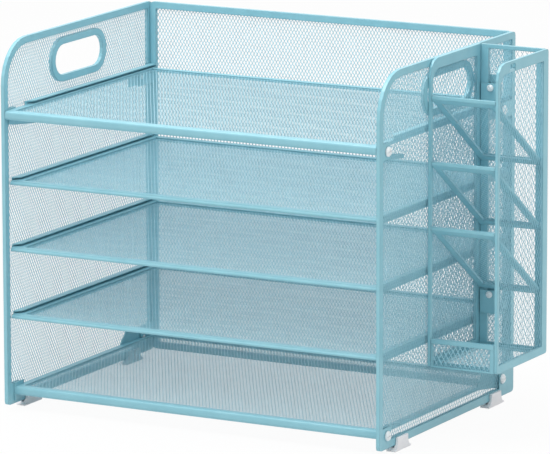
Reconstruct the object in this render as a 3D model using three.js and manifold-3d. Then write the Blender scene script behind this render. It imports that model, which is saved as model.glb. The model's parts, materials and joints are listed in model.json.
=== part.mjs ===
// Five-tier mesh letter-tray organizer with sliding trays and a side pen caddy.
// Millimetres, +Z up, +X to the right, -Y to the front. The origin is on the desk surface,
// under the middle of the overall box.

import * as THREE from 'three';
import Module from 'manifold-3d';
import { mergeVertices } from 'three/addons/utils/BufferGeometryUtils.js';

const wasm = await Module();
wasm.setup();

// Body: the two side panels, the back and the five trays. Heights are measured from the back panel's
// lower edge, and the side panels reach below it by the sill.
const bodyWidth = 338;
const bodyDepth = 236;
const panelHeight = 294;
const sill = 0.9;
const footHeight = 4.5;
const topCornerRadius = 35;
const panelCornerRadius = 3;

// Rims are folded steel, and each rim grips the edge of an expanded-metal sheet
const rimWidth = 5.5;
const rimThickness = 3.2;
const sheetThickness = 0.8;
const sheetGrip = 2.5;
const seam = 0.3;

// Expanded metal is drawn coarsely: diamonds in rows, with each second row set half a diamond aside.
// A grid is a count of diamonds along each side of the sheet.
const gridOpenness = 0.8;
const gridMargin = 1;
const sideGrid = [4, 4];
const backGrid = [4, 6];
const topTrayGrid = [6, 4];
const trayGrid = [5, 3];
const caddyWallGrid = [2, 4];
const caddyBackGrid = [4, 1];
const dividerGrid = [2, 2];
const lipGrid = [1, 3];

// Handle slots, one in each side panel
const slotLength = 76;
const slotHeight = 25;
const slotDrop = 27.5;
const slotRingWidth = 5.5;

// Trays: height of each tray's top edge
const bottomTrayHeight = 13.4;
const lowerTrayHeight = 72.2;
const middleTrayHeight = 126.9;
const upperTrayHeight = 181;
const topTrayHeight = 238.9;

// Fixed trays, at the top and the bottom
const fixedLip = 0.55;
const fixedThickness = 2.5;
const fixedRimWidth = 6;
const railDepth = 6.4;
const railHeight = 7.3;
const railNose = 2;
const railFoot = 2.4;
const topTrayRecess = 0;
const bottomTrayRecess = 9;

// Hems along the sides of the top tray: a slot runs in each of them
const hemWidth = 5.5;
const hemHeight = 3.2;
const hemWall = 0.8;
const hemStart = 30;
const hemTaper = 8;

// Sliding trays
const slidingLip = 0.9;
const slidingSideRim = 9;
const slidingFrontRim = 7;
const slidingRearRim = 6;
const slidingRecess = 6;
const stripDepth = 4.5;
const stripHeight = 2.8;
const frameRise = 0.5;
const stripNose = 1.2;
const slideGap = 0.5;

// Guide rails of the sliding trays
const guideWall = 0.7;
const guideFlange = 6;
const guideHeadroom = 1.3;
const guideTaper = 5;

// Screws that hold the fixed trays to the side panels
const screwRadius = 1.95;
const screwLength = 6.5;
const screwClearance = 0.35;
const screwHeadRadius = 4;
const screwHeadHeight = 2.2;
const screwCrownInset = 1.2;
const screwSlotWidth = 1;
const screwSlotDepth = 0.7;
const frontScrewSetback = 12.5;
const rearScrewSetback = 21.5;
const topScrewDrop = 5.6;
const bottomFrontScrewDrop = 3.9;
const bottomRearScrewDrop = -0.1;
const screwTilt = 0.2;
const lowFrontGusset = [19.5, 16];
const lowRearGusset = [25.5, 21];
const highFrontGusset = [17.5, 13];
const highRearGusset = [27, 13];
const tabStart = 5;
const tabDepth = 11.5;
const tabThickness = 1.2;
const tabLength = 17.5;
const frontTabTop = 3;
const strutEnd = 47;
const strutDrop = 5.5;
const strutHeight = 3.4;
const wingLength = 58;
const wingSlope = 30;
const wingTop = 9.6;
const wingDepth = 6.6;
const earReach = 23;
const earHeight = 14;

// Feet, clipped over the lower rims
const footBase = 27;
const footTop = 17.5;
const footClipHeight = 6;
const footWall = 2;
const footSetback = 35.5;
const footFlare = 6;
const footBaseEdge = 1.2;
const footCore = 1.2;

// Pen caddy on the right side panel. Its front is ahead of the body's mid-depth by its lead, and
// its top is above the panel's.
const caddyWidth = 60.5;
const caddyDepth = 89;
const caddyHeight = 244;
const caddyLead = 37;
const caddyRise = 0.4;
const caddyWall = 2.5;
const caddyCornerRadius = 12;
const caddyFrontRim = 3.2;
const caddyBackRim = 8.5;
const caddyTopRim = 8.6;
const caddyBottomRim = 6.5;
const caddyBackWallRims = [4, 3.2, 6.6, 6.6];
const caddyNotch = [19.5, 30.3];
const caddyNotchTop = 2;
const caddyNotchRadius = 1.6;
const caddySmallRadius = 2;

// Caddy dividers: height of each front bar's top edge above the caddy's lower edge
const lowDividerHeight = 112.1;
const midDividerHeight = 163.6;
const highDividerHeight = 215.6;
const dividerDrop = 62;
const dividerThickness = 2.6;
const dividerRim = 6;
const dividerBarDepth = 2.6;
const dividerFlange = 3;
const dividerWall = 1.5;

// Caddy base and front lip
const lipHeight = 22.9;
const lipWall = 2.4;
const lipInset = 0.3;
const lipRailHeight = 3.8;
const lipRailDepth = 2.6;
const lipLeftRim = 1.6;
const lipRightRim = 3.8;
const lipLowerRim = 1.6;
const lipGrip = 1.2;
const floorThickness = 3;
const floorRim = 5;

// Caddy fixings: clamp plate inside, angle bracket outside, one screw through both
const lowFixingHeight = 43;
const highFixingDrop = 34.5;
const fixingInset = 12;
const fixingHeadRadius = 2.8;
const plateWidth = 17;
const plateBelow = 15.5;
const plateAbove = 3.5;
const plateThickness = 1.2;
const bracketLeg = 20;
const bracketEnd = 7;

// Facets
const arcStep = 5;
const railArcStep = 0.9;
const slotSteps = 10;
const holeSides = 12;
const screwSides = 16;
const flareSteps = 3;
const overcut = 1;

// Derived places
const sideFace = bodyWidth / 2;
const sideMiddle = sideFace - rimThickness / 2;
const sideThickness = [-rimThickness / 2, rimThickness / 2];
const sheetInnerFace = sideMiddle - sheetThickness / 2;
const innerFace = sideFace - rimThickness;
const front = -bodyDepth / 2;
const back = bodyDepth / 2;
const trayHalf = innerFace - seam;
const slidingHalf = innerFace - slideGap;
const slidingThickness = 2 * slidingLip + sheetThickness + 2 * seam;
const slotNeck = slotRingWidth - sheetGrip;
const screwHole = screwRadius + screwClearance;
const screwEnd = screwLength - rimThickness;
const caddyX = sideFace + seam;

// Solids from three.js geometries, and back again

function solid(geometry) {
  geometry.deleteAttribute('normal');
  geometry.deleteAttribute('uv');
  const merged = mergeVertices(geometry);
  const vertProperties = merged.attributes.position.array;
  const triVerts = new Uint32Array(merged.index.array);
  return new wasm.Manifold(new wasm.Mesh({ numProp: 3, vertProperties, triVerts }));
}

function geometryOf(manifold) {
  const { vertProperties, triVerts } = manifold.getMesh();
  const geometry = new THREE.BufferGeometry();
  geometry.setAttribute('position', new THREE.BufferAttribute(vertProperties, 3));
  geometry.setIndex(new THREE.BufferAttribute(triVerts, 1));
  geometry.computeVertexNormals();
  return geometry;
}

function box(x, y, z) {
  const geometry = new THREE.BoxGeometry(x[1] - x[0], y[1] - y[0], z[1] - z[0]);
  geometry.translate((x[0] + x[1]) / 2, (y[0] + y[1]) / 2, (z[0] + z[1]) / 2);
  return solid(geometry);
}

// Axis x takes outlines in (y, z), axis y takes them in (z, x) and axis z in (x, y)
const axisBasis = {
  x: [new THREE.Vector3(0, 1, 0), new THREE.Vector3(0, 0, 1), new THREE.Vector3(1, 0, 0)],
  y: [new THREE.Vector3(0, 0, 1), new THREE.Vector3(1, 0, 0), new THREE.Vector3(0, 1, 0)],
  z: [new THREE.Vector3(1, 0, 0), new THREE.Vector3(0, 1, 0), new THREE.Vector3(0, 0, 1)],
};

function prism(points, axis, range) {
  const depth = range[1] - range[0];
  const geometry = new THREE.ExtrudeGeometry(new THREE.Shape(points), { depth, bevelEnabled: false });
  geometry.translate(0, 0, range[0]);
  geometry.applyMatrix4(new THREE.Matrix4().makeBasis(...axisBasis[axis]));
  return solid(geometry);
}

function corner(centreU, centreV, radius, startAngle, step) {
  if (radius === 0) {
    return [new THREE.Vector2(centreU, centreV)];
  }
  const steps = Math.max(2, Math.ceil(radius / step));
  const points = [];
  for (let index = 0; index <= steps; index += 1) {
    const angle = startAngle + (Math.PI / 2) * (index / steps);
    const across = radius * Math.cos(angle);
    points.push(new THREE.Vector2(centreU + across, centreV + radius * Math.sin(angle)));
  }
  return points;
}

// Radii run counter-clockwise from the corner where both coordinates are lowest
function roundedOutline(u, v, radii, step = arcStep) {
  return [
    ...corner(u[0] + radii[0], v[0] + radii[0], radii[0], Math.PI, step),
    ...corner(u[1] - radii[1], v[0] + radii[1], radii[1], Math.PI * 1.5, step),
    ...corner(u[1] - radii[2], v[1] - radii[2], radii[2], 0, step),
    ...corner(u[0] + radii[3], v[1] - radii[3], radii[3], Math.PI / 2, step),
  ];
}

// A stadium: a slot of the given length and height with round ends, centred on (u, v)
function stadiumOutline(u, v, length, height) {
  const radius = height / 2;
  const points = [];
  for (let step = 0; step <= slotSteps; step += 1) {
    const angle = (Math.PI * step) / slotSteps - Math.PI / 2;
    points.push(new THREE.Vector2(
      u + length / 2 - radius + radius * Math.cos(angle), v + radius * Math.sin(angle)));
  }
  return [...points, ...points.map((point) => new THREE.Vector2(2 * u - point.x, 2 * v - point.y))];
}

function cylinder(radius, axis, range, centre) {
  const points = [];
  for (let step = 0; step < holeSides; step += 1) {
    const angle = (2 * Math.PI * step) / holeSides;
    const across = radius * Math.cos(angle);
    points.push(new THREE.Vector2(centre[0] + across, centre[1] + radius * Math.sin(angle)));
  }
  return prism(points, axis, range);
}

function joined(first, others) {
  return others.reduce((sum, other) => sum.add(other), first);
}

function cut(first, others) {
  return others.reduce((rest, other) => rest.subtract(other), first);
}

// Framed sheets. A panel has its extent u and v across the axis, its thickness w along it, a
// radius at each corner, and rims: how far the rim reaches in at low u, high u, low v and high v.

function shrink(panel, margins) {
  const [lowU, highU, lowV, highV] = margins;
  const insets = [Math.min(lowU, lowV), Math.min(highU, lowV), Math.min(highU, highV), Math.min(lowU, highV)];
  return {
    axis: panel.axis,
    u: [panel.u[0] + lowU, panel.u[1] - highU],
    v: [panel.v[0] + lowV, panel.v[1] - highV],
    radii: panel.radii.map((radius, index) => Math.max(radius - insets[index], 0)),
  };
}

function slab(panel, range) {
  return prism(roundedOutline(panel.u, panel.v, panel.radii), panel.axis, range);
}

function thicken(range, amount) {
  return [range[0] - amount, range[1] + amount];
}

// Diamonds that fill the panel's window, as one solid
function diamonds(panel) {
  const window = shrink(panel, panel.rims.map((rim) => rim + gridMargin));
  const [columns, rows] = panel.grid.map((count) => 2 * count);
  const stepU = (window.u[1] - window.u[0]) / columns;
  const stepV = (window.v[1] - window.v[0]) / rows;
  const reachU = stepU * gridOpenness;
  const reachV = stepV * gridOpenness;
  const range = thicken(panel.w, overcut);
  const holes = [];
  for (let row = 0; row <= rows; row += 1) {
    for (let column = row % 2; column <= columns; column += 2) {
      const u = window.u[0] + column * stepU;
      const v = window.v[0] + row * stepV;
      holes.push(prism([
        new THREE.Vector2(u - reachU, v),
        new THREE.Vector2(u, v - reachV),
        new THREE.Vector2(u + reachU, v),
        new THREE.Vector2(u, v + reachV),
      ], panel.axis, range));
    }
  }
  return joined(holes[0], holes.slice(1)).intersect(slab(window, range));
}

// Sides are joined to the rim before its window is cut, and gussets after it. The groove for the
// sheet runs through all of them. The sheet has no diamonds under gussets and the places kept whole.
function framedPanel(panel, sides = [], gussets = [], whole = []) {
  const middle = panel.middle ?? (panel.w[0] + panel.w[1]) / 2;
  const sheetRange = [middle - sheetThickness / 2, middle + sheetThickness / 2];
  const grip = panel.grip ?? sheetGrip;
  const grooveMargins = panel.rims.map((rim) => rim - grip);
  const sheetMargins = grooveMargins.map((margin) => margin + seam);
  const window = slab(shrink(panel, panel.rims), thicken(panel.w, overcut));
  const groove = slab(shrink(panel, grooveMargins), thicken(sheetRange, seam));
  const open = joined(slab(panel, panel.w), sides).subtract(window);
  const openings = cut(diamonds(panel), [...gussets, ...whole]);
  return {
    frame: joined(open, gussets).subtract(groove),
    sheet: slab(shrink(panel, sheetMargins), sheetRange).subtract(openings),
  };
}

// Parts

const materials = {
  steel: new THREE.MeshStandardMaterial({ color: 0x7fb4bd, roughness: 0.45, metalness: 0.1 }),
  sheet: new THREE.MeshStandardMaterial({ color: 0x93bcc4, roughness: 0.5, metalness: 0.1 }),
  foot: new THREE.MeshStandardMaterial({ color: 0xe6e4e4, roughness: 0.5, metalness: 0 }),
  screw: new THREE.MeshStandardMaterial({ color: 0xeef0f2, roughness: 0.3, metalness: 0.3 }),
};

function part(name, geometry, material) {
  const mesh = new THREE.Mesh(geometry, materials[material].clone());
  mesh.name = name;
  return mesh;
}

function place(object, x, y, z) {
  object.position.set(x, y, z);
  return object;
}

// Screws of the fixed trays, by tray: depth and height of each screw's axis
function screwPlaces(trayHeight, drops) {
  return [
    { y: front + frontScrewSetback, z: trayHeight - drops[0] },
    { y: back - rearScrewSetback, z: trayHeight - drops[1] },
  ];
}

const topScrewDrops = [topScrewDrop, topScrewDrop];
const bottomScrewDrops = [bottomFrontScrewDrop, bottomRearScrewDrop];
const topScrews = screwPlaces(topTrayHeight, topScrewDrops);
const bottomScrews = screwPlaces(bottomTrayHeight, bottomScrewDrops);

function screwHoles(places, range) {
  return places.map(({ y, z }) => cylinder(screwHole, 'x', range, [y, z]));
}

function turned(topRadius, bottomRadius, bottom, height) {
  const geometry = new THREE.CylinderGeometry(topRadius, bottomRadius, height, screwSides);
  geometry.rotateX(Math.PI / 2);
  geometry.translate(0, 0, bottom + height / 2);
  return solid(geometry);
}

// A pan-head screw along z, with z = 0 under its head
function screwGeometry(headRadius) {
  const rim = screwHeadHeight / 2;
  const shank = turned(screwRadius, screwRadius, -screwLength, screwLength + rim);
  const head = turned(headRadius, headRadius, 0, rim);
  const crown = turned(headRadius - screwCrownInset, headRadius, rim, screwHeadHeight - rim);
  const slot = box(
    [-screwSlotWidth / 2, screwSlotWidth / 2],
    thicken([-headRadius, headRadius], overcut),
    [screwHeadHeight - screwSlotDepth, screwHeadHeight + overcut]);
  return geometryOf(joined(shank, [head, crown]).subtract(slot));
}

// Side panels: rim with gussets at the screws, sheet, and the ring of the carry handle

function sideGussets() {
  const inset = rimWidth / 2;
  const atScrew = (height) => thicken([topScrews[0].z, topScrews[0].z], height / 2);
  const fronts = [
    [lowFrontGusset[0], [inset, lowFrontGusset[1]]],
    [highFrontGusset[0], atScrew(highFrontGusset[1])],
  ];
  const rears = [
    [lowRearGusset[0], [inset, lowRearGusset[1]]],
    [highRearGusset[0], atScrew(highRearGusset[1])],
  ];
  return [
    ...fronts.map(([reach, height]) => box(sideThickness, [front + inset, front + reach], height)),
    ...rears.map(([reach, height]) => box(sideThickness, [back - reach, back - inset], height)),
  ];
}

function sidePanel() {
  const panel = {
    axis: 'x',
    u: [front, back],
    v: [-sill, panelHeight],
    w: sideThickness,
    radii: [panelCornerRadius, panelCornerRadius, panelCornerRadius, topCornerRadius],
    rims: [rimWidth, rimWidth, rimWidth + sill, rimWidth],
    grid: sideGrid,
  };
  const ringSeat = slotPrism(slotRingWidth + gridMargin, sideThickness);
  const { frame, sheet } = framedPanel(panel, [], sideGussets(), [ringSeat]);
  const holes = screwHoles([...topScrews, ...bottomScrews], thicken(sideThickness, overcut));
  return {
    rim: geometryOf(cut(frame, holes)),
    sheet: geometryOf(cut(sheet, [...holes, slotPrism(slotNeck + seam, sideThickness)])),
  };
}

// The hand slot grown all round by an amount
function slotPrism(growth, range) {
  const outline = stadiumOutline(
    0, panelHeight - slotDrop, slotLength + 2 * growth, slotHeight + 2 * growth);
  return prism(outline, 'x', range);
}

function handleRing() {
  const groove = thicken([-sheetThickness / 2, sheetThickness / 2], seam);
  const outside = slotPrism(slotRingWidth + overcut, groove).subtract(slotPrism(slotNeck, groove));
  const ring = slotPrism(slotRingWidth, sideThickness);
  return geometryOf(cut(ring, [slotPrism(0, thicken(sideThickness, overcut)), outside]));
}

// Back panel, between the side panels, with ears that the rear screws of the fixed trays hold

function backEars() {
  const depth = [back - rimThickness - earReach, back - rimThickness / 2];
  const outer = trayHalf - tabThickness - seam;
  const heights = [
    [topScrews[1].z - earHeight / 2, topTrayHeight - fixedThickness - seam],
    [bottomTrayHeight + seam, bottomTrayHeight + wingTop],
  ];
  return heights.flatMap((height) => [
    box([outer - tabThickness, outer], depth, height),
    box([-outer, tabThickness - outer], depth, height),
  ]);
}

function backPanel() {
  const panel = {
    axis: 'y',
    u: [0, panelHeight],
    v: [-trayHalf, trayHalf],
    w: [back - rimThickness, back],
    radii: [panelCornerRadius, panelCornerRadius, panelCornerRadius, panelCornerRadius],
    rims: [rimWidth, rimWidth, rimWidth, rimWidth],
    grid: backGrid,
  };
  const { frame, sheet } = framedPanel(panel, [], backEars());
  const holes = screwHoles([topScrews[1], bottomScrews[1]], [-trayHalf, trayHalf]);
  return { rim: geometryOf(cut(frame, holes)), sheet: geometryOf(sheet) };
}

// Fixed trays: their top edge is at z = 0

function bothSides(outline, thickness) {
  const points = outline.map(([y, z]) => new THREE.Vector2(y, z));
  return [
    prism(points, 'x', [trayHalf - thickness, trayHalf]),
    prism(points, 'x', [-trayHalf, thickness - trayHalf]),
  ];
}

// Tabs, as outlines in (y, z)
function rectangle(y, z) {
  return [[y[0], z[0]], [y[1], z[0]], [y[1], z[1]], [y[0], z[1]]];
}

// The top tray's front tab runs on into a narrow strut that falls towards the back
function topFrontTab() {
  const start = front + tabStart;
  const end = start + tabLength - railHeight;
  const strutStart = -topScrewDrop - screwHole;
  return [
    [start, -tabDepth], [end, -tabDepth - strutHeight / 2],
    [front + strutEnd, strutStart - strutDrop - strutHeight], [front + strutEnd, strutStart - strutDrop],
    [end, strutStart], [end, -fixedThickness / 2], [start, -fixedThickness / 2],
  ];
}

// The bottom tray's rear tab is a wing that rises above the tray
function bottomRearTab() {
  const end = back - tabStart;
  const start = back - wingLength;
  return [
    [start, -fixedThickness], [start + wingSlope, -wingDepth], [end, -wingDepth],
    [end, wingTop], [start + wingTop, wingTop], [start, 0],
  ];
}

const topTabs = [
  topFrontTab(),
  rectangle([back - tabStart - 2 * tabLength, back - tabStart], [-tabDepth, -fixedThickness / 2]),
];
const bottomTabs = [
  rectangle([front + bottomTrayRecess, front + tabStart + tabLength], [-tabDepth, frontTabTop]),
  bottomRearTab(),
];

// Hems of the top tray: they start at a slant, and a slot runs along the inner side of each
function topHems() {
  const start = front + hemStart;
  const rear = back - rimThickness - seam;
  const wall = trayHalf - hemWall;
  const outline = (side) => [
    new THREE.Vector2(side * trayHalf, start),
    new THREE.Vector2(side * trayHalf, rear),
    new THREE.Vector2(side * (trayHalf - hemWidth), rear),
    new THREE.Vector2(side * (trayHalf - hemWidth), start + hemTaper),
  ];
  const slotX = [trayHalf - hemWidth - overcut, wall];
  const slotY = [start - overcut, rear + overcut];
  const slotZ = [hemWall, hemHeight - hemWall];
  return [slotX, [-slotX[1], -slotX[0]]].map((slot, index) => {
    const hem = prism(outline(1 - 2 * index), 'z', [-fixedThickness / 2, hemHeight]);
    return hem.subtract(box(slot, slotY, slotZ));
  });
}

function fixedTray({ recess, screwDrops, tabs, hems, grid }) {
  const nose = front + recess;
  const panel = {
    axis: 'z',
    u: [-trayHalf, trayHalf],
    v: [nose + railNose, back - rimThickness - seam],
    w: [-fixedThickness, 0],
    radii: [0, 0, 0, 0],
    rims: [fixedRimWidth, fixedRimWidth, railDepth - railNose, fixedRimWidth],
    middle: -fixedLip - seam - sheetThickness / 2,
    grid,
  };
  const railProfile = roundedOutline(
    [nose, nose + railDepth], [-railHeight, 0], [railFoot, 0, 0, railNose], railArcStep);
  const rail = prism(railProfile, 'x', [-trayHalf, trayHalf]);
  const sides = tabs.flatMap((outline) => bothSides(outline, tabThickness));
  const { frame, sheet } = framedPanel(panel, [rail, ...sides, ...hems]);
  const ends = [[trayHalf - screwEnd, trayHalf + overcut], [-trayHalf - overcut, screwEnd - trayHalf]];
  const holes = ends.flatMap((end) => screwHoles(screwPlaces(0, screwDrops), end));
  return { frame: geometryOf(cut(frame, holes)), sheet: geometryOf(sheet) };
}

// Sliding trays: the top of the front strip is at z = 0

function slidingTray() {
  const nose = front + slidingRecess;
  const panel = {
    axis: 'z',
    u: [-slidingHalf, slidingHalf],
    v: [nose + stripNose, back - rimThickness - slideGap],
    w: [frameRise - slidingThickness, frameRise],
    radii: [0, 0, 0, 0],
    rims: [slidingSideRim, slidingSideRim, slidingFrontRim - stripNose, slidingRearRim],
    grid: trayGrid,
  };
  const stripProfile = roundedOutline(
    [nose, nose + stripDepth], [-stripHeight, 0], [stripNose, 0, 0, stripNose], railArcStep);
  const strip = prism(stripProfile, 'x', [-slidingHalf, slidingHalf]);
  const { frame, sheet } = framedPanel(panel, [strip]);
  return { frame: geometryOf(frame), sheet: geometryOf(sheet) };
}

// A guide rail for one side: +1 for the right side panel, -1 for the left one. Its height is
// measured from the top of the front strip of its tray.
function guideRail(side) {
  const start = front + slidingRecess + stripDepth + seam;
  const end = back - rimWidth - seam;
  const outer = sheetInnerFace - seam;
  const inner = outer - guideFlange;
  const wall = outer - guideWall;
  const roof = frameRise + guideHeadroom;
  const floor = frameRise - slidingThickness - seam;
  const mirrored = (range) => (side > 0 ? range : [-range[1], -range[0]]);
  const channel = box(mirrored([inner, outer]), [start, end], [floor - guideWall, roof + guideWall]);
  const hollow = box(mirrored([inner - overcut, wall]), [start - overcut, end + overcut], [floor, roof]);
  const taper = prism([
    new THREE.Vector2(side * (inner - overcut), start - overcut),
    new THREE.Vector2(side * (wall - guideWall), start - overcut),
    new THREE.Vector2(side * (wall - guideWall), start),
    new THREE.Vector2(side * inner, start + guideTaper),
    new THREE.Vector2(side * (inner - overcut), start + guideTaper),
  ], 'z', [floor - guideWall - overcut, roof + guideWall + overcut]);
  return geometryOf(cut(channel, [hollow, taper]));
}

// A foot, with z = 0 at the lower edge of the side panel and x = 0 at the panel's middle plane
function footGeometry() {
  const waist = [];
  for (let step = 0; step <= flareSteps; step += 1) {
    const angle = (Math.PI / 2) * (step / flareSteps);
    const reach = footBase / 2 - ((footBase - footTop) / 2) * Math.sin(angle);
    waist.push(new THREE.Vector2(reach, footBaseEdge - footHeight + footFlare * (1 - Math.cos(angle))));
  }
  const right = [new THREE.Vector2(footBase / 2, -footHeight), ...waist,
    new THREE.Vector2(footTop / 2, footClipHeight)];
  const left = right.map((point) => new THREE.Vector2(-point.x, point.y)).reverse();
  const halfSlot = rimThickness / 2 + seam;
  const half = halfSlot + footWall;
  const body = prism([...right, ...left], 'x', [-half, half]);
  const length = thicken([-footBase / 2, footBase / 2], overcut);
  const slot = box([-halfSlot, halfSlot], length, [-seam, footClipHeight + overcut]);
  const core = cylinder(footCore, 'y', length, [-footCore, 0]);
  return geometryOf(cut(body, [slot, core]));
}

// Caddy. Its own origin is at the front lower corner of its inner wall's outer face.

const caddyBack = caddyDepth - caddyWall;
const caddyInside = [caddyWall + seam, caddyWidth - caddyWall - seam];
const plateBack = caddyBack - seam;
const bracketFront = caddyDepth + seam;
const fixingHeights = [lowFixingHeight, caddyHeight - highFixingDrop];

function fixingHole(height, range) {
  return cylinder(screwHole, 'y', range, [height, fixingInset]);
}

// Where the caddy's back sheet stays whole, round a screw and under its clamp plate
function fixingSeat(height) {
  const width = [fixingInset - plateWidth / 2, fixingInset + plateWidth / 2];
  return box(width, [caddyBack, caddyDepth], [height - plateBelow, height + plateAbove]);
}

function caddySideWall(x, cutouts = []) {
  const { frame, sheet } = framedPanel({
    axis: 'x',
    u: [0, caddyDepth],
    v: [0, caddyHeight],
    w: x,
    radii: [caddySmallRadius, caddySmallRadius, caddySmallRadius, caddyCornerRadius],
    rims: [caddyFrontRim, caddyBackRim, caddyBottomRim, caddyTopRim],
    grid: caddyWallGrid,
  });
  return { frame: geometryOf(cut(frame, cutouts)), sheet: geometryOf(sheet) };
}

// A notch in the outer wall's upper rim, open to the mesh below
function rimNotch(x) {
  const height = [caddyHeight - caddyTopRim - overcut, caddyHeight - caddyNotchTop];
  const outline = roundedOutline(caddyNotch, height, [0, 0, caddyNotchRadius, caddyNotchRadius]);
  return prism(outline, 'x', thicken(x, overcut));
}

function caddyBackWall() {
  const { frame, sheet } = framedPanel({
    axis: 'y',
    u: [0, caddyHeight],
    v: caddyInside,
    w: [caddyBack, caddyDepth],
    radii: [0, 0, 0, 0],
    rims: caddyBackWallRims,
    grid: caddyBackGrid,
  }, [], [], fixingHeights.map((height) => fixingSeat(height)));
  const holes = fixingHeights.map((height) => fixingHole(height, [caddyBack, caddyDepth]));
  return { frame: geometryOf(frame), sheet: geometryOf(cut(sheet, holes)) };
}

// A sloping slab: its heights are those at the front, and it falls towards the back
function slopingSlab(x, y, height) {
  const fall = dividerDrop / plateBack;
  return prism([
    new THREE.Vector2(y[0], height[0] - fall * y[0]),
    new THREE.Vector2(y[1], height[0] - fall * y[1]),
    new THREE.Vector2(y[1], height[1] - fall * y[1]),
    new THREE.Vector2(y[0], height[1] - fall * y[0]),
  ], 'x', x);
}

// A sloping divider. The top edge of its front bar is at z = 0.
function caddyDivider() {
  const groove = dividerRim - sheetGrip;
  const middle = -dividerThickness / 2;
  const halfSheet = (sheetThickness / 2) * Math.hypot(1, dividerDrop / plateBack);
  const across = (inset) => [caddyInside[0] + inset, caddyInside[1] - inset];
  const along = (inset) => [inset, plateBack - inset];
  const plate = slopingSlab(caddyInside, [0, plateBack], [-dividerThickness, 0]);
  const bar = box(caddyInside, [0, dividerBarDepth], [-dividerThickness, 0]);
  const flangeHeight = [-dividerDrop - dividerWall, dividerFlange - dividerDrop];
  const flange = box(caddyInside, [plateBack - dividerWall, plateBack], flangeHeight);
  const window = box(across(dividerRim), along(dividerRim), [-dividerDrop - dividerThickness, overcut]);
  const sheetHeight = [middle - halfSheet, middle + halfSheet];
  const slit = slopingSlab(across(groove), along(groove), thicken(sheetHeight, seam));
  const sheet = slopingSlab(across(groove + seam), along(groove + seam), sheetHeight);
  const holes = diamonds({
    axis: 'z',
    u: caddyInside,
    v: [0, plateBack],
    w: [-dividerDrop - dividerThickness, 0],
    radii: [0, 0, 0, 0],
    rims: [dividerRim, dividerRim, dividerRim, dividerRim],
    grid: dividerGrid,
  });
  return {
    frame: geometryOf(cut(joined(plate, [bar, flange]), [window, slit])),
    sheet: geometryOf(sheet.subtract(holes)),
  };
}

function caddyBase() {
  const floor = framedPanel({
    axis: 'z',
    u: caddyInside,
    v: [lipInset + lipWall - seam, plateBack],
    w: [0, floorThickness],
    radii: [0, 0, 0, 0],
    rims: [floorRim, floorRim, floorRim, floorRim],
    grid: dividerGrid,
    grip: lipGrip,
  });
  const rail = box(caddyInside, [0, lipRailDepth], [lipHeight - lipRailHeight, lipHeight]);
  const lip = framedPanel({
    axis: 'y',
    u: [0, lipHeight],
    v: caddyInside,
    w: [lipInset, lipInset + lipWall],
    radii: [0, 0, 0, 0],
    rims: [lipLowerRim, lipRailHeight, lipLeftRim, lipRightRim],
    grid: lipGrid,
    grip: lipGrip,
  }, [rail]);
  return {
    frame: geometryOf(floor.frame.add(lip.frame)),
    floor: geometryOf(floor.sheet),
    lip: geometryOf(lip.sheet),
  };
}

// The clamp plate and the bracket of one fixing, with z = 0 at the screw

function clampPlate() {
  const depth = [plateBack - plateThickness, plateBack];
  const width = [fixingInset - plateWidth / 2, fixingInset + plateWidth / 2];
  const plate = box(width, depth, [-plateBelow, plateAbove]);
  return geometryOf(plate.subtract(fixingHole(0, thicken(depth, overcut))));
}

function bracket() {
  const inner = sideMiddle + sheetThickness / 2 + seam - caddyX;
  const height = [-bracketLeg / 2, bracketLeg / 2];
  const depth = [bracketFront, bracketFront + plateThickness];
  const across = box([inner, fixingInset + bracketEnd], depth, height);
  const along = box([inner, inner + plateThickness], [bracketFront, bracketFront + bracketLeg], height);
  return geometryOf(across.add(along).subtract(fixingHole(0, thicken(depth, overcut))));
}

// Assembly

function framed(name, { frame, sheet }, z = 0) {
  return [
    place(part(`${name}_frame`, frame, 'steel'), 0, 0, z),
    place(part(`${name}_mesh`, sheet, 'sheet'), 0, 0, z),
  ];
}

function sideAssembly(name, side) {
  const x = side * sideMiddle;
  const { rim, sheet } = sidePanel();
  const feet = [front + footSetback, back - footSetback];
  const ends = ['front', 'rear'];
  const panel = [
    part(`${name}_side_rim`, rim, 'steel'),
    part(`${name}_side_mesh`, sheet, 'sheet'),
    part(`${name}_handle_ring`, handleRing(), 'steel'),
    ...feet.map((y, index) => (
      place(part(`${name}_${ends[index]}_foot`, footGeometry(), 'foot'), 0, y, -sill))),
  ];
  const screws = [['top', topScrews], ['bottom', bottomScrews]].flatMap(([level, places]) => (
    places.map(({ y, z }, index) => {
      const screw = part(`${name}_${level}_${ends[index]}_screw`, screwGeometry(screwHeadRadius), 'screw');
      screw.rotation.set(0, (side * Math.PI) / 2, screwTilt);
      return place(screw, side * (rimThickness / 2 + seam), y, z);
    })));
  const group = place(new THREE.Group(), x, 0, 0);
  group.add(...panel, ...screws);
  return group;
}

function slidingTiers() {
  const tiers = [['upper', upperTrayHeight], ['middle', middleTrayHeight], ['lower', lowerTrayHeight]];
  return tiers.flatMap(([name, height]) => [
    ...framed(`${name}_tray`, slidingTray(), height),
    place(part(`${name}_left_guide_rail`, guideRail(-1), 'steel'), 0, 0, height),
    place(part(`${name}_right_guide_rail`, guideRail(1), 'steel'), 0, 0, height),
  ]);
}

function bodyParts() {
  const { rim, sheet } = backPanel();
  const topTray = fixedTray({
    recess: topTrayRecess,
    screwDrops: topScrewDrops,
    tabs: topTabs,
    hems: topHems(),
    grid: topTrayGrid,
  });
  const bottomTray = fixedTray({
    recess: bottomTrayRecess,
    screwDrops: bottomScrewDrops,
    tabs: bottomTabs,
    hems: [],
    grid: trayGrid,
  });
  return [
    part('back_rim', rim, 'steel'),
    part('back_mesh', sheet, 'sheet'),
    ...framed('top_tray', topTray, topTrayHeight),
    ...slidingTiers(),
    ...framed('bottom_tray', bottomTray, bottomTrayHeight),
  ];
}

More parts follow.
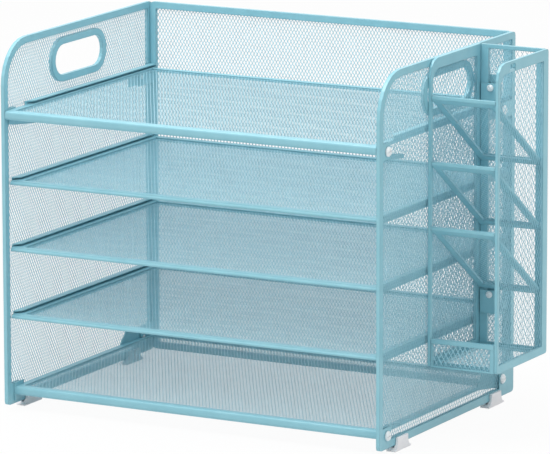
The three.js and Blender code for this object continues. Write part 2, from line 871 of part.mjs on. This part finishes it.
function caddyFixings() {
  return fixingHeights.flatMap((height, index) => {
    const name = ['low', 'high'][index];
    const screw = part(`caddy_${name}_screw`, screwGeometry(fixingHeadRadius), 'screw');
    screw.rotation.set(Math.PI / 2, 0, screwTilt);
    return [
      place(part(`caddy_${name}_clamp_plate`, clampPlate(), 'steel'), 0, 0, height),
      place(part(`caddy_${name}_bracket`, bracket(), 'steel'), 0, 0, height),
      place(screw, fixingInset, plateBack - plateThickness - seam, height),
    ];
  });
}

function caddy() {
  const innerWall = caddySideWall([0, caddyWall]);
  const outerThickness = [caddyWidth - caddyWall, caddyWidth];
  const outerWall = caddySideWall(outerThickness, [rimNotch(outerThickness)]);
  const base = caddyBase();
  const bottom = panelHeight + caddyRise - caddyHeight;
  const group = place(new THREE.Group(), caddyX, -caddyLead, bottom);
  group.add(
    ...framed('caddy_inner_wall', innerWall),
    ...framed('caddy_outer_wall', outerWall),
    ...framed('caddy_back_wall', caddyBackWall()),
    ...framed('caddy_high_divider', caddyDivider(), highDividerHeight),
    ...framed('caddy_mid_divider', caddyDivider(), midDividerHeight),
    ...framed('caddy_low_divider', caddyDivider(), lowDividerHeight),
    part('caddy_base_frame', base.frame, 'steel'),
    part('caddy_floor_mesh', base.floor, 'sheet'),
    part('caddy_lip_mesh', base.lip, 'sheet'),
    ...caddyFixings());
  return group;
}

const group = new THREE.Group();
group.name = 'desk_organizer';
group.add(sideAssembly('left', -1), sideAssembly('right', 1), ...bodyParts(), caddy());
const leftReach = sideFace + seam + screwHeadHeight;
const rightReach = caddyX + caddyWidth;
group.position.set((leftReach - rightReach) / 2, 0, footHeight + sill);

export default group;
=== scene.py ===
"""Blender scene of a desk organizer made of expanded metal: five trays between two side panels,
with a pen caddy on the right. Lengths are in metres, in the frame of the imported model."""

import json
import math

import bpy
from mathutils import Matrix, Vector


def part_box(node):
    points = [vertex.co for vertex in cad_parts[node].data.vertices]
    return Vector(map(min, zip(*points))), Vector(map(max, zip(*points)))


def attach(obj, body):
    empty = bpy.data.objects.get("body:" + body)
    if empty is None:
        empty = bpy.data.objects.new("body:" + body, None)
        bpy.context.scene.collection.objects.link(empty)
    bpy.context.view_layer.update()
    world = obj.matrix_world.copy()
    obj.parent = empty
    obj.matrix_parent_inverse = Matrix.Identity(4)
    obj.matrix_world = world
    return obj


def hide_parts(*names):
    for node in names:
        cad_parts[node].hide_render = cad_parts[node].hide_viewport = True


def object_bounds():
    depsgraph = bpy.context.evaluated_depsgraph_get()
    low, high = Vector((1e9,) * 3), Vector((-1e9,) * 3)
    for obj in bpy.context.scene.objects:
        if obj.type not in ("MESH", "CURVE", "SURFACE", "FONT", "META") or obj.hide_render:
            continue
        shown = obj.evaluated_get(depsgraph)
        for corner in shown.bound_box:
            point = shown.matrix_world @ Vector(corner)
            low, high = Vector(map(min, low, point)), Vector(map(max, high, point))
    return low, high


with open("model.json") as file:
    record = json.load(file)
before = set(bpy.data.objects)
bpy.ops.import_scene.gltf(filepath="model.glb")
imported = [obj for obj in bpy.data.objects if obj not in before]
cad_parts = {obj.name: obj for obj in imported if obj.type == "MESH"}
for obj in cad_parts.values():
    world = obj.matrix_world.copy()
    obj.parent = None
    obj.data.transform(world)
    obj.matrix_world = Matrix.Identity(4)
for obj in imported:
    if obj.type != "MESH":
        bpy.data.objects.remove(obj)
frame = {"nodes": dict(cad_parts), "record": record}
cad_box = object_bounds()

# Camera, fitted to the corners of the body in the photograph; angles are in degrees
PHOTO_WIDTH_PX = 550
FOCAL_LENGTH_PX = 5396
SENSOR_WIDTH_MM = 36
CAMERA_AZIMUTH = 28.405
CAMERA_ELEVATION = 11.454
CAMERA_ROLL = -0.145
CAMERA_DISTANCE = 4.348
CAMERA_ASIDE = 0.0118
CAMERA_ABOVE = 0.1377
CAMERA_REACH = 100

# Expanded metal: (diamond width, diamond height, strand width). The caddy's is the coarser one, and
# its lip has the thickest strands.
BODY_MESH = (0.0030, 0.0052, 0.00045)
CADDY_MESH = (0.00415, 0.0070, 0.0003)
LIP_MESH = (0.00415, 0.0070, 0.00062)
STRAND_THICKNESS = 0.00022
STRAND_TWIST = 18

# How far the two families of strands lie off the sheet's middle, and how far each strand is shifted,
# as a share of the spacing, so that none runs through a corner of the outline
FAMILY_OFFSET = 0.00006
STRAND_SHIFT = 0.01

# The band that fills the rims' grooves along a sheet's edges, and the narrower one of the caddy's
# floor and lip. An edge no longer than BANDED_LENGTH, such as a screw hole's, has none.
BAND_WIDTH = 0.0021
NARROW_BAND_WIDTH = 0.0008
BAND_THICKNESS = 0.0012
BANDED_LENGTH = 0.1
NARROW_BANDS = ("caddy_floor_mesh", "caddy_lip_mesh")

# Reading a sheet's outline: the decimals to which directions and corners are compared, the least
# cosine between faces that look the same way, and the least corners of a round hole
DIRECTION_DECIMALS = 2
CORNER_DECIMALS = 7
SAME_WAY = 0.99
ROUND_HOLE_CORNERS = 12

# Strands and bands are bars of rectangular section
SECTION_CORNERS = 4

# Screen colours, from 0 to 255, between which each surface varies
RIM_TONES = ((136, 192, 206), (142, 197, 210))
# The strands' tones are painted lighter than the rims', though both are one powder coat: this is painted
# light, for the light that the twisted strands catch
STRAND_TONES_PAINTED_LIGHTER = ((154, 203, 217), (162, 210, 223))
FOOT_TONES = ((246, 244, 249), (251, 249, 253))
SCREW_TONES = ((232, 240, 243), (246, 249, 250))

# Finishes: the noise scales of colour, gloss and grain, the range of roughness, the grain's height
# and the shader's own sockets
POWDER_COAT = {
    "mottle": 60,
    "gloss": 220,
    "roughness": (0.3, 0.42),
    "grain": 1400,
    "relief": 0.00005,
    "sockets": {},
}
MOULDED_PLASTIC = {
    "mottle": 80,
    "gloss": 300,
    "roughness": (0.38, 0.5),
    "grain": 900,
    "relief": 0.00004,
    "sockets": {"Subsurface Weight": 0.5, "Subsurface Radius": (0.006, 0.006, 0.006)},
}
WHITE_LACQUER = {
    "mottle": 400,
    "gloss": 600,
    "roughness": (0.25, 0.35),
    "grain": 2500,
    "relief": 0.00003,
    "sockets": {"Coat Weight": 0.3},
}
GRAIN_STRENGTH = 0.35
GRAIN_DETAIL = 2
NOISE_DETAIL = 3

# The middle range of a noise, over which colour and roughness go from one end to the other
TONE_RANGE = (0.35, 0.65)
GLOSS_RANGE = (0.3, 0.7)

# Softened edges
STEEL_EDGE = 0.001
STRAND_EDGE = 0.0001
PLASTIC_EDGE = 0.0005
SCREW_EDGE = 0.0004

# Light and floor
AMBIENT = 0.68
KEY_PLACE = (-0.35, -0.45, 2.2)
KEY_POWER = 42
FILL_PLACE = (1.8, -0.5, 1.0)
FILL_POWER = 3.5
LAMP_SIZE = 1.4
FLOOR_SIZE = 30
FLOOR_WHITENESS = 0.95
FLOOR_ROUGHNESS = 0.7
FLOOR_COLOUR = (0.72, 0.72, 0.72, 1)
WHITE = (1, 1, 1, 1)


def linear(red, green, blue):
    """A colour for a shader socket from its 0 to 255 screen values, by the usual sRGB curve."""
    def one(value):
        part = value / 255
        return part / 12.92 if part <= 0.04045 else ((part + 0.055) / 1.055) ** 2.4
    return (one(red), one(green), one(blue), 1)


def body_of(node):
    """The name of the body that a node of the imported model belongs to."""
    bodies = frame["record"]["behaviour"]["bodies"]
    return next(name for name, nodes in bodies.items() if node in nodes)


# Materials


def new_material(name):
    """A material, its node tree and its Principled shader."""
    material = bpy.data.materials.new(name)
    material.use_nodes = True
    return material, material.node_tree, material.node_tree.nodes["Principled BSDF"]


def add_node(tree, kind, **inputs):
    """A shader node with its input sockets set by name."""
    node = tree.nodes.new(kind)
    for name, value in inputs.items():
        node.inputs[name.replace("_", " ")].default_value = value
    return node


def object_noise(tree, scale, detail=NOISE_DETAIL):
    """Noise in the object's own coordinates."""
    place = tree.nodes.new("ShaderNodeTexCoord")
    noise = add_node(tree, "ShaderNodeTexNoise", Scale=scale, Detail=detail)
    tree.links.new(place.outputs["Object"], noise.inputs["Vector"])
    return noise.outputs["Fac"]


def varied_tone(tree, scale, tones):
    """A colour that a noise takes from the first tone to the second."""
    ramp = tree.nodes.new("ShaderNodeValToRGB")
    for element, position, tone in zip(ramp.color_ramp.elements, TONE_RANGE, tones):
        element.position = position
        element.color = linear(*tone)
    tree.links.new(object_noise(tree, scale), ramp.inputs["Fac"])
    return ramp.outputs["Color"]


def varied_value(tree, scale, low, high):
    """A value that a noise takes from low to high."""
    least, most = GLOSS_RANGE
    ranged = add_node(tree, "ShaderNodeMapRange", From_Min=least, From_Max=most, To_Min=low, To_Max=high)
    tree.links.new(object_noise(tree, scale), ranged.inputs["Value"])
    return ranged.outputs["Result"]


def soft_normal(tree, edge, grain, relief):
    """A normal with rounded edges and a fine grain."""
    bevel = add_node(tree, "ShaderNodeBevel", Radius=edge)
    bump = add_node(tree, "ShaderNodeBump", Strength=GRAIN_STRENGTH, Distance=relief)
    tree.links.new(object_noise(tree, grain, GRAIN_DETAIL), bump.inputs["Height"])
    tree.links.new(bevel.outputs["Normal"], bump.inputs["Normal"])
    return bump.outputs["Normal"]


def finished(name, tones, edge, finish):
    """A material with faint mottling in its colour and gloss, a fine grain and softened edges."""
    material, tree, shader = new_material(name)
    for socket, value in finish["sockets"].items():
        shader.inputs[socket].default_value = value
    colour = varied_tone(tree, finish["mottle"], tones)
    roughness = varied_value(tree, finish["gloss"], *finish["roughness"])
    normal = soft_normal(tree, edge, finish["grain"], finish["relief"])
    tree.links.new(colour, shader.inputs["Base Color"])
    tree.links.new(roughness, shader.inputs["Roughness"])
    tree.links.new(normal, shader.inputs["Normal"])
    return material


RIM_STEEL = finished("rim_powder_coat", RIM_TONES, STEEL_EDGE, POWDER_COAT)
# The strands' material carries their painted lighter tones, which stand in for the light that the
# strands catch
STRAND_STEEL_PAINTED_LIGHTER = finished("mesh_powder_coat_painted_lighter", STRAND_TONES_PAINTED_LIGHTER, STRAND_EDGE, POWDER_COAT)
FOOT_PLASTIC = finished("foot_plastic", FOOT_TONES, PLASTIC_EDGE, MOULDED_PLASTIC)
SCREW_LACQUER = finished("screw_lacquer", SCREW_TONES, SCREW_EDGE, WHITE_LACQUER)


# Outlines of the CAD sheets


def edges_of(loop):
    """The edges between the corners of a closed loop, as (start, end)."""
    return list(zip(loop, loop[1:] + loop[:1]))


def length_of(loop):
    """How long a closed loop is."""
    return sum((end - start).length for start, end in edges_of(loop))


def loops_of(edges):
    """The closed loops that directed outline edges make, each as a list of its corners."""
    following = dict(edges)
    loops = []
    while following:
        point = next(iter(following))
        loop = []
        while point in following:
            loop.append(Vector(point))
            point = following.pop(point)
        loops.append(loop)
    return loops


def broad_face(node):
    """(unit normal, plane distance, loops) of a CAD sheet's broad side. The loops are the sheet's
    outer edge and its round holes, without the coarse grid of diamonds, and each has the sheet on
    its left."""
    mesh = frame["nodes"][node].data
    areas = {}
    for polygon in mesh.polygons:
        direction = tuple(round(value, DIRECTION_DECIMALS) for value in polygon.normal)
        areas[direction] = areas.get(direction, 0) + polygon.area
    facing = Vector(max(areas, key=areas.get)).normalized()
    broad = [polygon for polygon in mesh.polygons if polygon.normal.dot(facing) >= SAME_WAY]
    edges = set()
    for polygon in broad:
        places = [mesh.vertices[index].co for index in polygon.vertices]
        corners = [tuple(round(value, CORNER_DECIMALS) for value in place) for place in places]
        edges.update(edges_of(corners))
    loops = sorted(loops_of([edge for edge in edges if edge[::-1] not in edges]), key=length_of)
    outer = loops.pop()
    holes = [loop for loop in loops if len(loop) >= ROUND_HOLE_CORNERS]
    normal = broad[0].normal.copy()
    return normal, mesh.vertices[broad[0].vertices[0]].co.dot(normal), [outer] + holes


def thickness_of(node, normal):
    """How thick a CAD sheet is along its normal."""
    reaches = [vertex.co.dot(normal) for vertex in frame["nodes"][node].data.vertices]
    return max(reaches) - min(reaches)


def line_pieces(outline, along, across, offset):
    """Where the line at that offset across is inside the outline, as (start, end) along it."""
    cuts = []
    for start, end in outline:
        first, last = start.dot(across) - offset, end.dot(across) - offset
        if (first > 0) == (last > 0):
            continue
        cuts.append(start.lerp(end, first / (first - last)).dot(along))
    cuts.sort()
    return list(zip(cuts[::2], cuts[1::2]))


# Expanded metal. A shape is a pair of lists: corners and faces.


def join_sections(faces, here, there):
    """The sides of a bar between two of its sections, each given by its first corner."""
    for corner in range(SECTION_CORNERS):
        after = (corner + 1) % SECTION_CORNERS
        faces.append((here + corner, here + after, there + after, there + corner))


def add_strand(shape, start, end, side, rise):
    """A bar of rectangular section between two points; side and rise reach from its middle."""
    vertices, faces = shape
    first = len(vertices)
    for point in (start, end):
        vertices.extend((
            point - side - rise,
            point + side - rise,
            point + side + rise,
            point - side + rise))
    second = first + SECTION_CORNERS
    join_sections(faces, first, second)
    faces.append(tuple(range(second - 1, first - 1, -1)))
    faces.append(tuple(range(second, second + SECTION_CORNERS)))


def add_family(shape, outline, axes, middle, weave, lean):
    """The strands that slant to one side, inside the outline; lean is -1 or 1."""
    normal, wide, tall = axes
    diamond_width, diamond_height, strand_width = weave
    spacing = diamond_width * diamond_height / math.hypot(diamond_width, diamond_height)
    along = (wide * diamond_width * lean + tall * diamond_height).normalized()
    across = normal.cross(along)
    turn = Matrix.Rotation(math.radians(STRAND_TWIST * lean), 3, along)
    side = turn @ across * (strand_width / 2)
    rise = turn @ normal * (STRAND_THICKNESS / 2)
    height = normal * (middle + lean * FAMILY_OFFSET)
    reaches = [point.dot(across) for edge in outline for point in edge]
    first = math.ceil(min(reaches) / spacing)
    last = math.floor(max(reaches) / spacing)
    for step in range(first, last + 1):
        offset = (step + STRAND_SHIFT) * spacing
        base = across * offset + height
        for start, end in line_pieces(outline, along, across, offset):
            add_strand(shape, base + along * start, base + along * end, side, rise)


def add_band(shape, loop, normal, middle, width):
    """A flat bar along a closed loop, on the side of the sheet."""
    vertices, faces = shape
    first = len(vertices)
    count = len(loop)
    for index, point in enumerate(loop):
        sides = []
        for start, end in ((loop[index - 1], point), (point, loop[(index + 1) % count])):
            sides.append(normal.cross(end - start).normalized())
        inward = (sides[0] + sides[1]) / (1 + sides[0].dot(sides[1]))
        level = point + normal * (middle - point.dot(normal))
        for inset, rise in ((0, 0.5), (0, -0.5), (1, -0.5), (1, 0.5)):
            vertices.append(level + inward * inset * width + normal * rise * BAND_THICKNESS)
    for index in range(count):
        here = first + SECTION_CORNERS * index
        there = first + SECTION_CORNERS * ((index + 1) % count)
        join_sections(faces, here, there)


def weave_of(node):
    """The expanded metal that a CAD sheet is made of."""
    if node == "caddy_lip_mesh":
        return LIP_MESH
    return CADDY_MESH if "caddy" in node else BODY_MESH


def tall_direction(node):
    """Which way the diamonds are long: up on the walls, front to back on the trays."""
    if "tray" in node or "floor" in node:
        return Vector((0, 1, 0))
    return Vector((0, 0, 1))


def make_panel(node):
    """Strands and bands in place of a CAD sheet."""
    normal, level, loops = broad_face(node)
    outline = [edge for loop in loops for edge in edges_of(loop)]
    middle = level - thickness_of(node, normal) / 2
    tall = tall_direction(node)
    tall = (tall - normal * tall.dot(normal)).normalized()
    axes = (normal, normal.cross(tall), tall)
    shape = ([], [])
    for lean in (-1, 1):
        add_family(shape, outline, axes, middle, weave_of(node), lean)
    band_width = NARROW_BAND_WIDTH if node in NARROW_BANDS else BAND_WIDTH
    for loop in loops:
        if length_of(loop) > BANDED_LENGTH:
            add_band(shape, loop, normal, middle, band_width)
    vertices, faces = shape
    mesh = bpy.data.meshes.new(f"{node}_strands")
    mesh.from_pydata([tuple(vertex) for vertex in vertices], [], faces)
    # Strands and bands take the material with the painted lighter tones
    mesh.materials.append(STRAND_STEEL_PAINTED_LIGHTER)
    piece = bpy.data.objects.new(f"{node}_strands", mesh)
    bpy.context.scene.collection.objects.link(piece)
    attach(piece, body_of(node))
    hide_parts(node)


def make_panels():
    """Expanded metal for every CAD sheet."""
    for node in list(frame["nodes"]):
        if node.endswith("_mesh"):
            make_panel(node)


def finish_nodes():
    """Materials for the CAD nodes that stay in view."""
    for node, piece in frame["nodes"].items():
        if node.endswith("_mesh"):
            continue
        material = RIM_STEEL
        if node.endswith("_foot"):
            material = FOOT_PLASTIC
        elif node.endswith("_screw"):
            material = SCREW_LACQUER
        piece.data.materials.clear()
        piece.data.materials.append(material)


# Camera, floor and light


def reference_point():
    """The middle of the body's width and depth, at the panels' lower edge."""
    low = Vector(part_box("left_side_rim")[0])
    high = Vector(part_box("right_side_rim")[1])
    return Vector(((low.x + high.x) / 2, (low.y + high.y) / 2, low.z))


def make_camera():
    """A camera at the photograph's viewing angle."""
    azimuth, elevation, roll = map(math.radians, (CAMERA_AZIMUTH, CAMERA_ELEVATION, CAMERA_ROLL))
    back = Vector((
        math.sin(azimuth) * math.cos(elevation),
        -math.cos(azimuth) * math.cos(elevation),
        math.sin(elevation)))
    level_right = Vector((math.cos(azimuth), math.sin(azimuth), 0))
    level_up = back.cross(level_right)
    right = level_right * math.cos(roll) + level_up * math.sin(roll)
    up = level_up * math.cos(roll) - level_right * math.sin(roll)
    place = reference_point() + back * CAMERA_DISTANCE + right * CAMERA_ASIDE + up * CAMERA_ABOVE
    data = bpy.data.cameras.new("camera")
    data.sensor_fit = "HORIZONTAL"
    data.sensor_width = SENSOR_WIDTH_MM
    data.lens = FOCAL_LENGTH_PX / PHOTO_WIDTH_PX * SENSOR_WIDTH_MM
    data.clip_end = CAMERA_REACH
    camera = bpy.data.objects.new("camera", data)
    turn = Matrix((right, up, back)).transposed().to_4x4()
    camera.matrix_world = Matrix.Translation(place) @ turn
    bpy.context.scene.collection.objects.link(camera)
    bpy.context.scene.camera = camera


def seen_directly(tree, amount):
    """The amount for rays from the camera or off glossy and clear surfaces, and 0 for the others."""
    path = tree.nodes.new("ShaderNodeLightPath")
    total = path.outputs["Is Camera Ray"]
    for name in ("Is Glossy Ray", "Is Transmission Ray"):
        add = tree.nodes.new("ShaderNodeMath")
        add.operation = "MAXIMUM"
        tree.links.new(total, add.inputs[0])
        tree.links.new(path.outputs[name], add.inputs[1])
        total = add.outputs["Value"]
    scale = tree.nodes.new("ShaderNodeMath")
    scale.operation = "MULTIPLY"
    scale.inputs[1].default_value = amount
    tree.links.new(total, scale.inputs[0])
    return scale.outputs["Value"]


def mix_shaders(tree, factor, first, second, target):
    """A mix of two shaders, led to the target socket."""
    mix = tree.nodes.new("ShaderNodeMixShader")
    tree.links.new(factor, mix.inputs["Fac"])
    tree.links.new(first, mix.inputs[1])
    tree.links.new(second, mix.inputs[2])
    tree.links.new(mix.outputs["Shader"], target)


def make_floor():
    """A white floor that keeps a faint shadow."""
    bpy.ops.mesh.primitive_plane_add(size=FLOOR_SIZE, location=(0, 0, 0))
    floor = bpy.context.object
    floor.name = "floor"
    material, tree, shader = new_material("floor_white")
    shader.inputs["Base Color"].default_value = FLOOR_COLOUR
    shader.inputs["Roughness"].default_value = FLOOR_ROUGHNESS
    white = add_node(tree, "ShaderNodeEmission", Color=WHITE, Strength=1)
    surface = tree.nodes["Material Output"].inputs["Surface"]
    factor = seen_directly(tree, FLOOR_WHITENESS)
    mix_shaders(tree, factor, shader.outputs["BSDF"], white.outputs["Emission"], surface)
    floor.data.materials.append(material)


def make_world():
    """Even light all round, and a white background."""
    world = bpy.data.worlds.new("studio")
    bpy.context.scene.world = world
    world.use_nodes = True
    tree = world.node_tree
    ambient = tree.nodes["Background"]
    ambient.inputs["Color"].default_value = WHITE
    ambient.inputs["Strength"].default_value = AMBIENT
    white = add_node(tree, "ShaderNodeBackground", Color=WHITE, Strength=1)
    surface = tree.nodes["World Output"].inputs["Surface"]
    factor = seen_directly(tree, 1)
    mix_shaders(tree, factor, ambient.outputs["Background"], white.outputs["Background"], surface)


def make_lamp(name, place, power):
    """A square soft lamp that points at the middle of the object."""
    target = (cad_box[0] + cad_box[1]) / 2
    data = bpy.data.lights.new(name, "AREA")
    data.shape = "SQUARE"
    data.size = LAMP_SIZE
    data.energy = power
    lamp = bpy.data.objects.new(name, data)
    lamp.location = place
    lamp.rotation_euler = (target - Vector(place)).to_track_quat("-Z", "Y").to_euler()
    bpy.context.scene.collection.objects.link(lamp)


bpy.context.scene.view_settings.view_transform = "Standard"
make_camera()
make_floor()
make_world()
make_lamp("key", KEY_PLACE, KEY_POWER)
make_lamp("fill", FILL_PLACE, FILL_POWER)
finish_nodes()
make_panels()
